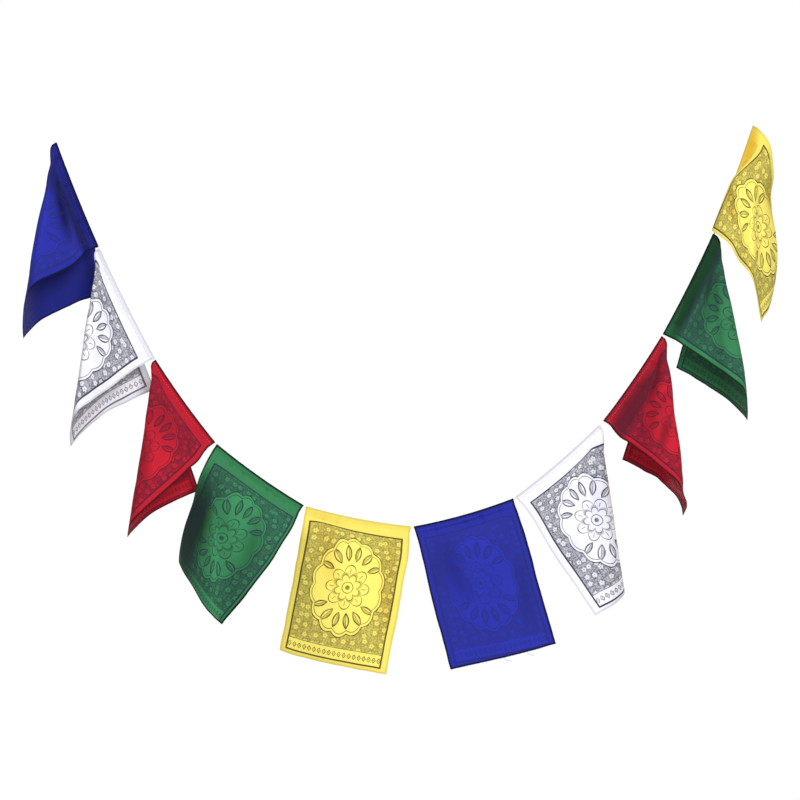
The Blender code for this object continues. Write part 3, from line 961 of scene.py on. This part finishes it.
    def mesh(self, settings):
        """The sheet with its thickness, as a closed mesh with its flat cloth's places."""
        rows, columns = self.points.shape[:2]
        offset = self.normals() * settings.cloth_thickness / 2
        skins = [self.points + offset, self.points - offset]
        verts = np.concatenate([skin.reshape(-1, 3) for skin in skins])
        count = rows * columns
        index = np.arange(count).reshape(rows, columns)
        corners = [index[:-1, :-1], index[:-1, 1:], index[1:, 1:], index[1:, :-1]]
        quads = np.stack(corners, axis=2).reshape(-1, 4)
        around = [*index[0, :-1], *index[:-1, -1], *index[-1, :0:-1], *index[:0:-1, 0]]
        rim = [
            [int(a), int(b), int(b + count), int(a + count)]
            for a, b in zip(around, around[1:] + around[:1])
        ]
        faces = quads.tolist() + (quads[:, ::-1] + count).tolist() + rim
        mesh = bpy.data.meshes.new(self.hang.flag.name)
        mesh.from_pydata(verts.tolist(), [], faces)
        flat = np.concatenate([self.flat.reshape(-1, 2)] * 2)
        corners = np.empty(len(mesh.loops), dtype=np.int32)
        mesh.loops.foreach_get("vertex_index", corners)
        mesh.uv_layers.new(name="flat cloth").data.foreach_set("uv", flat[corners].ravel())
        # crease and shade: each point's share of the painted shade, for the cloth's colour
        maps = {"crease": self.crease, "from edge": self.from_edge, "from fold": self.from_fold}
        values = {name: np.tile(map_.ravel(), 2) for name, map_ in maps.items()}
        for name, value in {**values, "back": np.repeat([0.0, 1.0], count)}.items():
            mesh.attributes.new(name, "FLOAT", "POINT").data.foreach_set("value", value)
        bm = bmesh.new()
        bm.from_mesh(mesh)
        bmesh.ops.recalc_face_normals(bm, faces=bm.faces)
        bm.to_mesh(mesh)
        bm.free()
        smooth_join(mesh)
        return mesh

    def edge_points(self, step):
        """Points along the two cut sides and the bottom, each with its direction outwards."""
        points = self.points
        places = []
        for c, inner in ((0, INWARDS), (-1, -1 - INWARDS)):
            for r in range(points.shape[0] - len(sleeve_section())):
                places.append((points[r, c], points[r, c] - points[r, inner]))
        for c in range(1, points.shape[1] - 1):
            places.append((points[0, c], points[0, c] - points[INWARDS, c]))
        spread = []
        for (here, out), (there, _) in zip(places, places[1:]):
            gap = np.linalg.norm(there - here)
            if gap < EDGE_GAP:
                for n in range(max(1, round(gap / step))):
                    share = n * step / gap
                    spread.append((here + (there - here) * share, out / np.linalg.norm(out)))
        return spread


SHEETS = {}


def sheet_of(hang, settings):
    """A flag's sheet, worked out once."""
    name = hang.flag.name
    if name not in SHEETS:
        SHEETS[name] = Sheet(hang, settings)
    return SHEETS[name]


def geometry_tree(name, sizes):
    """A new Geometry Nodes tree with a named input for each size, and its board and input."""
    tree = bpy.data.node_groups.new(name, "GeometryNodeTree")
    tree.interface.new_socket("Geometry", in_out="INPUT", socket_type="NodeSocketGeometry")
    for size in sizes:
        tree.interface.new_socket(size, in_out="INPUT", socket_type="NodeSocketFloat")
    tree.interface.new_socket("Seed", in_out="INPUT", socket_type="NodeSocketInt")
    tree.interface.new_socket("Material", in_out="INPUT", socket_type="NodeSocketMaterial")
    tree.interface.new_socket("Geometry", in_out="OUTPUT", socket_type="NodeSocketGeometry")
    board = Board(tree)
    return tree, board, board.node("NodeGroupInput")


def close_tree(board, entry, instances):
    """Ends a tree in real geometry with its material."""
    solid = board.node("GeometryNodeRealizeInstances", {}, {"Geometry": instances})
    inputs = {"Geometry": solid, "Material": entry.output("Material")}
    board.node("NodeGroupOutput", {}, (board.node("GeometryNodeSetMaterial", {}, inputs),))


def strew(board, entry, points, piece, axis, way, lean, low, high, unit=1.0):
    """Ends a tree in a copy of a piece at each point, its axis along the way but for some lean,
    and its size between low and high times the unit."""
    seed = entry.output("Seed")
    loose = scatter(board, (-lean,) * 3, (lean,) * 3, seed, "FLOAT_VECTOR")
    leaning = board.node("ShaderNodeVectorMath", {"operation": "ADD"}, (way, loose))
    turned = board.node("FunctionNodeAlignRotationToVector", {"axis": axis}, {"Vector": leaning})
    inputs = {
        "Points": points,
        "Instance": piece,
        "Rotation": turned,
        "Scale": scatter(board, low, high, seed) * unit,
    }
    close_tree(board, entry, board.node("GeometryNodeInstanceOnPoints", {}, inputs))


def scatter(board, low, high, seed, kind="FLOAT"):
    """A random value for each point, between low and high."""
    names = {"FLOAT": (2, 3, 1), "FLOAT_VECTOR": (0, 1, 0)}[kind]
    inputs = {names[0]: low, names[1]: high, "Seed": seed}
    return board.node("FunctionNodeRandomValue", {"data_type": kind}, inputs, output=names[2])


def stitch_tree():
    """Short slanting stitches along a line."""
    tree, board, entry = geometry_tree("row of stitches", ("Length", "Pitch", "Thickness"))
    inputs = {"Curve": entry, "Length": entry.output("Pitch")}
    line = board.node("GeometryNodeResampleCurve", {"mode": "LENGTH"}, inputs)
    ball = board.node("GeometryNodeMeshUVSphere", {}, {"Segments": 6, "Rings": 5, "Radius": 0.5})
    sizes = [entry.output(name) for name in ("Length", "Thickness", "Thickness")]
    size = board.node("ShaderNodeCombineXYZ", {}, sizes)
    stitch = board.node("GeometryNodeTransform", {}, {"Geometry": ball, "Scale": size})
    tangent = board.node("GeometryNodeInputTangent")
    strew(board, entry, line, stitch, "X", tangent, 0.12, 0.8, 1.15)
    return tree


def fray_tree():
    """Short bent fibres that stick out of a cut edge."""
    tree, board, entry = geometry_tree("frayed edge", ("Length",))
    bends = {"Start": (0, 0, -0.3), "Middle": (0.25, 0, 0.5), "End": (-0.1, 0.2, 1.0)}
    bent = board.node("GeometryNodeCurveQuadraticBezier", {}, {"Resolution": 3, **bends})
    inputs = {"Resolution": 3, "Radius": 0.08}
    section = board.node("GeometryNodeCurvePrimitiveCircle", {}, inputs)
    inputs = {"Curve": bent, "Profile Curve": section, "Fill Caps": True}
    fibre = board.node("GeometryNodeCurveToMesh", {}, inputs)
    outward = board.node(
        "GeometryNodeInputNamedAttribute", {"data_type": "FLOAT_VECTOR"}, {"Name": "outward"}
    )
    points = board.node("GeometryNodeMeshToPoints", {}, {"Mesh": entry})
    strew(board, entry, points, fibre, "Z", outward, 0.7, 0.25, 1.0, entry.output("Length"))
    return tree


def grown(name, data, tree, values):
    """A plain mesh object that a Geometry Nodes tree makes from some data, by its inputs."""
    source = bpy.data.objects.new(name, data)
    bpy.context.scene.collection.objects.link(source)
    modifier = source.modifiers.new("grow", "NODES")
    modifier.node_group = tree
    for item in tree.interface.items_tree:
        if item.in_out == "INPUT" and item.name in values:
            modifier[item.identifier] = values[item.name]
    evaluated = source.evaluated_get(bpy.context.evaluated_depsgraph_get())
    mesh = bpy.data.meshes.new_from_object(evaluated)
    mesh.name = name
    bpy.data.objects.remove(source, do_unlink=True)
    mesh.shade_smooth()
    return new_object(name, mesh, values["Material"])


def poly_curve(name, lines):
    """A curve with one straight-stepped spline for each line of points."""
    curve = bpy.data.curves.new(name, "CURVE")
    curve.dimensions = "3D"
    for line in lines:
        spline = curve.splines.new("POLY")
        spline.points.add(len(line) - 1)
        for point, place in zip(spline.points, line):
            point.co = (*place, 1.0)
    return curve


def smooth_route(points, step):
    """Points on the smooth curve through some points, at about one spacing."""
    route = []
    for n in range(len(points) - 1):
        before, here = points[max(n - 1, 0)], points[n]
        there, after = points[n + 1], points[min(n + 2, len(points) - 1)]
        span = (there - here).length
        leaving = (there - before).normalized() * span
        arriving = (after - here).normalized() * span
        count = max(1, round(span / step))
        for i in range(count):
            route.append(smooth_between(here, there, leaving, arriving, i / count))
    return [*route, points[-1]]


def laid_tube(route, radius_at, sides):
    """A closed mesh tube along a route. radius_at gives the radius at a distance and a turn."""
    bm = bmesh.new()
    rings = []
    done = 0.0
    along = (route[1] - route[0]).normalized()
    across = along.orthogonal().normalized()
    for n, place in enumerate(route):
        if n > 0:
            done += (place - route[n - 1]).length
        ahead = (route[min(n + 1, len(route) - 1)] - route[max(n - 1, 0)]).normalized()
        across = (across - ahead * across.dot(ahead)).normalized()
        other = ahead.cross(across)
        ring = []
        for k in range(sides):
            turn = 2 * math.pi * k / sides
            out = across * math.cos(turn) + other * math.sin(turn)
            ring.append(bm.verts.new(place + out * radius_at(done, turn)))
        rings.append(ring)
    for here, there in zip(rings, rings[1:]):
        for k in range(sides):
            k2 = (k + 1) % sides
            bm.faces.new((here[k], here[k2], there[k2], there[k]))
    for ring, place, step in ((rings[0], route[0], -along), (rings[-1], route[-1], ahead)):
        tip = bm.verts.new(place + step * radius_at(0.0, 0.0) * 0.5)
        for k in range(sides):
            bm.faces.new((ring[k], ring[(k + 1) % sides], tip))
    bmesh.ops.recalc_face_normals(bm, faces=bm.faces)
    mesh = bpy.data.meshes.new("tube")
    bm.to_mesh(mesh)
    bm.free()
    mesh.shade_smooth()
    return mesh


def length_setting(name, description, default):
    """A setting in metres."""
    return FloatProperty(name=name, description=description, default=default, unit="LENGTH")


def colour_setting(name, description, default):
    """A setting for a dye or a colour."""
    return FloatVectorProperty(
        name=name, description=description, default=default, subtype="COLOR"
    )


class FlagStringSettings(bpy.types.PropertyGroup):
    """The sizes and colours of a string of flags."""

    cloth_thickness: length_setting("Cloth Thickness", "Thickness of the cloth", 0.00045)
    cell: length_setting("Cell", "Size of a cell of each cloth's grid", 0.0022)
    crease_strength: FloatProperty(
        name="Creases", description="How far the creases stand out", default=1.0, subtype="FACTOR"
    )
    pucker_depth: length_setting("Pucker Depth", "Depth of the puckers at the hem", 0.0014)
    edge_wander: length_setting("Edge Wander", "How far cut edges stray from straight", 0.0007)
    stitch_length: length_setting("Stitch Length", "Length of a stitch", 0.0030)
    stitch_pitch: length_setting("Stitch Pitch", "Spacing of the stitches", 0.0045)
    stitch_thickness: length_setting("Stitch Thickness", "Thickness of their thread", 0.0006)
    fray_length: length_setting("Fray Length", "Longest fibre at a cut edge", 0.0013)
    fray_step: length_setting("Fray Step", "Spacing of the fibres", 0.0015)
    cord_twist: length_setting("Cord Twist", "Length of one turn of the cord's plies", 0.009)
    plies: IntProperty(name="Plies", description="Yarns that the cord is laid from", default=3)
    print_strength: FloatProperty(
        name="Print Strength", description="How dark the print is", default=1.0, subtype="FACTOR"
    )
    blue_cloth: colour_setting("Blue", "Dye of the blue flags", (0.021, 0.029, 0.370))
    white_cloth: colour_setting("White", "Colour of the white flags", (0.860, 0.860, 0.920))
    red_cloth: colour_setting("Red", "Dye of the red flags", (0.540, 0.011, 0.028))
    green_cloth: colour_setting("Green", "Dye of the green flags", (0.044, 0.250, 0.100))
    yellow_cloth: colour_setting("Yellow", "Dye of the yellow flags", (0.960, 0.820, 0.160))
    cord_colour: colour_setting("Cord", "Colour of the cord", (0.850, 0.850, 0.820))
    ambient: FloatProperty(name="Ambient", description="Soft light from all round", default=0.44)
    key_power: FloatProperty(
        name="Key Light", description="Power of the large front light in watts", default=135.0
    )


class FLAGS_OT_cord(bpy.types.Operator):
    """Lays the cord from its plies along its route through the hems"""

    bl_idname = "flags.cord"
    bl_label = "Lay the Cord"

    def execute(self, context):
        settings = context.scene.flag_string
        route = smooth_route(cord_route(hang_all()), 1.2 * MM)
        length = sum((b - a).length for a, b in zip(route, route[1:]))

        def radius_at(done, turn):
            lay = math.cos(settings.plies * (turn - 2 * math.pi * done / settings.cord_twist))
            from_end = min(done, length - done) / CORD_TAIL
            knot = 1 + KNOT_SWELL * math.exp(-(((from_end - KNOT_PLACE) / KNOT_REACH) ** 2))
            return CORD_RADIUS * (1 - LAY + LAY * lay) * knot

        material = thread_material("cord_yarn", settings.cord_colour)
        cord = new_object("laid_cord", laid_tube(route, radius_at, 12), material)
        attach(cord, "root")
        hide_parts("cord")
        return {"FINISHED"}


class FLAGS_OT_cloth(bpy.types.Operator):
    """Hangs the ten printed cloths on the cord"""

    bl_idname = "flags.cloth"
    bl_label = "Hang the Cloths"

    def execute(self, context):
        settings = context.scene.flag_string
        block_print = print_tree()
        for hang in hang_all():
            flag = hang.flag
            material = bpy.data.materials.get(flag.cloth)
            if material is None or "Bump" not in material.node_tree.nodes:
                dye = getattr(settings, flag.cloth)
                material = cloth_material(flag.cloth, dye, settings, block_print)
            name = flag.name.replace("flag", "cloth")
            piece = new_object(name, sheet_of(hang, settings).mesh(settings), material)
            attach(piece, "root")
            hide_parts(flag.name)
        return {"FINISHED"}


class FLAGS_OT_stitches(bpy.types.Operator):
    """Sews each hem with a row of stitches, seen on both its faces"""

    bl_idname = "flags.stitches"
    bl_label = "Sew the Hems"

    def execute(self, context):
        settings = context.scene.flag_string
        tree = stitch_tree()
        for number, hang in enumerate(hang_all(), 1):
            sheet = sheet_of(hang, settings)
            out = sheet.normals() * (settings.cloth_thickness / 2 + 0.1 * MM)
            lines = [(sheet.points[row] + out[row])[1:-1] for row in sheet.stitch_rows]
            colour = PALETTES[hang.flag.cloth].thread
            values = {
                "Length": settings.stitch_length,
                "Pitch": settings.stitch_pitch,
                "Thickness": settings.stitch_thickness,
                "Seed": number,
                "Material": thread_material(f"thread of {hang.flag.cloth}", colour),
            }
            name = hang.flag.name.replace("flag", "stitches")
            piece = grown(name, poly_curve(name, lines), tree, values)
            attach(piece, "root")
        return {"FINISHED"}


class FLAGS_OT_frayed_edges(bpy.types.Operator):
    """Roughens the cut edges with short fibres of their own cloth"""

    bl_idname = "flags.frayed_edges"
    bl_label = "Fray the Cut Edges"

    def execute(self, context):
        settings = context.scene.flag_string
        tree = fray_tree()
        for number, hang in enumerate(hang_all(), 1):
            spread = sheet_of(hang, settings).edge_points(settings.fray_step)
            name = hang.flag.name.replace("flag", "fray")
            mesh = bpy.data.meshes.new(name)
            mesh.from_pydata([place.tolist() for place, _ in spread], [], [])
            outward = mesh.attributes.new("outward", "FLOAT_VECTOR", "POINT")
            outward.data.foreach_set("vector", np.array([out for _, out in spread]).ravel())
            palette = PALETTES[hang.flag.cloth]
            dye = getattr(settings, hang.flag.cloth)
            colour = Vector(dye).lerp(Vector(palette.deep) * RIM_TONE, palette.rim)
            material = thread_material(f"fibre of {hang.flag.cloth}", colour)
            seed = FIRST_FRAY_SEED + number
            values = {"Length": settings.fray_length, "Seed": seed, "Material": material}
            piece = grown(name, mesh, tree, values)
            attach(piece, "root")
        return {"FINISHED"}


class FLAGS_OT_loose_threads(bpy.types.Operator):
    """Lets two loose threads hang from the bottom edge of the right-hand blue flag"""

    bl_idname = "flags.loose_threads"
    bl_label = "Hang the Loose Threads"

    def execute(self, context):
        settings = context.scene.flag_string
        hang = next(hang for hang in hang_all() if hang.flag.name == THREADED)
        sheet = sheet_of(hang, settings)
        material = thread_material("loose thread", LOOSE_COLOUR)
        columns = sheet.points.shape[1] - 1
        for number, (share, run, drop) in enumerate(LOOSE_THREADS, 1):
            start = Vector(sheet.points[0, round(columns * share)])
            points = [
                start + Vector((x * run * MM, y * LOOSE_SWAY, z * drop * MM))
                for x, y, z in LOOSE_WAY
            ]
            route = smooth_route(points, 0.8 * MM)
            mesh = laid_tube(route, lambda done, turn: LOOSE_RADIUS, 6)
            piece = new_object(f"loose_thread_{number}", mesh, material)
            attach(piece, "root")
        return {"FINISHED"}


class FLAGS_OT_stage(bpy.types.Operator):
    """Sets the pale floor, the soft light and the camera"""

    bl_idname = "flags.stage"
    bl_label = "Set the Stage"

    def execute(self, context):
        settings = context.scene.flag_string
        scene = context.scene
        middle = Vector((
            (VIEW_LEFT + VIEW_SIZE / 2) * VIEW_PIXEL,
            0.0,
            (VIEW_TOP - VIEW_SIZE / 2) * VIEW_PIXEL,
        ))
        lens = bpy.data.cameras.new("camera")
        lens.sensor_width = 36.0
        lens.lens = lens.sensor_width * VIEW_DISTANCE / (VIEW_SIZE * VIEW_PIXEL)
        camera = bpy.data.objects.new("camera", lens)
        camera.location = middle + VIEWER * VIEW_DISTANCE
        camera.rotation_euler = (math.pi / 2, 0, 0)
        scene.collection.objects.link(camera)
        scene.camera = camera

        mesh = bpy.data.meshes.new("floor")
        corners = [
            (middle.x + x * FLOOR_HALF, y * FLOOR_HALF, FLOOR_LEVEL)
            for x, y in ((-1, -1), (1, -1), (1, 1), (-1, 1))
        ]
        mesh.from_pydata(corners, [], [(0, 1, 2, 3)])
        new_object("floor", mesh, backdrop_material())

        light = bpy.data.lights.new("key", "AREA")
        light.shape = "DISK"
        light.size = KEY_SIZE
        light.energy = settings.key_power
        key = bpy.data.objects.new("key", light)
        key.location = middle + Vector(KEY_PLACE)
        key.rotation_euler = (middle - key.location).to_track_quat("-Z", "Y").to_euler()
        scene.collection.objects.link(key)

        world = bpy.data.worlds.new("soft light")
        world.use_nodes = True
        board = Board(world.node_tree)
        way = board.node("ShaderNodeTexCoord").output("Generated")
        ahead = board.node("ShaderNodeSeparateXYZ", {}, (way,)).output("Y")
        level = ahead.rising(*WALL_EDGE) * (WALL_GLOW - settings.ambient) + settings.ambient
        background = world.node_tree.nodes["Background"]
        background.inputs["Color"].default_value = (1.0, 1.0, 1.0, 1.0)
        board.feed(background, "Strength", level)
        scene.world = world
        scene.view_settings.view_transform = "Standard"
        return {"FINISHED"}


class FLAGS_PT_panel(bpy.types.Panel):
    """The flags' sizes and the steps that make them"""

    bl_idname = "FLAGS_PT_panel"
    bl_label = "Prayer Flags"
    bl_space_type = "VIEW_3D"
    bl_region_type = "UI"
    bl_category = "Flags"

    def draw(self, context):
        settings = context.scene.flag_string
        for name in FlagStringSettings.__annotations__:
            self.layout.prop(settings, name)
        for step in STEPS:
            self.layout.operator(step.bl_idname)


STEPS = (
    FLAGS_OT_stage,
    FLAGS_OT_cord,
    FLAGS_OT_cloth,
    FLAGS_OT_stitches,
    FLAGS_OT_frayed_edges,
    FLAGS_OT_loose_threads,
)
CLASSES = (FlagStringSettings, *STEPS, FLAGS_PT_panel)


def register():
    for cls in CLASSES:
        bpy.utils.register_class(cls)
    bpy.types.Scene.flag_string = PointerProperty(type=FlagStringSettings)


def unregister():
    del bpy.types.Scene.flag_string
    for cls in reversed(CLASSES):
        bpy.utils.unregister_class(cls)


def declare_sheets():
    """Gathers, for each cloth, the pieces that go with it; nothing is done with them."""
    pieces = bpy.data.objects
    for flag in FLAGS:
        number = flag.name.removeprefix("flag_")
        with_pieces = [pieces["stitches_" + number], pieces["fray_" + number]]
        if flag.name == THREADED:
            with_pieces += [pieces["loose_thread_1"], pieces["loose_thread_2"]]


def main():
    register()
    bpy.ops.flags.stage()
    bpy.ops.flags.cord()
    bpy.ops.flags.cloth()
    bpy.ops.flags.stitches()
    bpy.ops.flags.frayed_edges()
    bpy.ops.flags.loose_threads()
    declare_sheets()


if __name__ == "__main__":
    main()
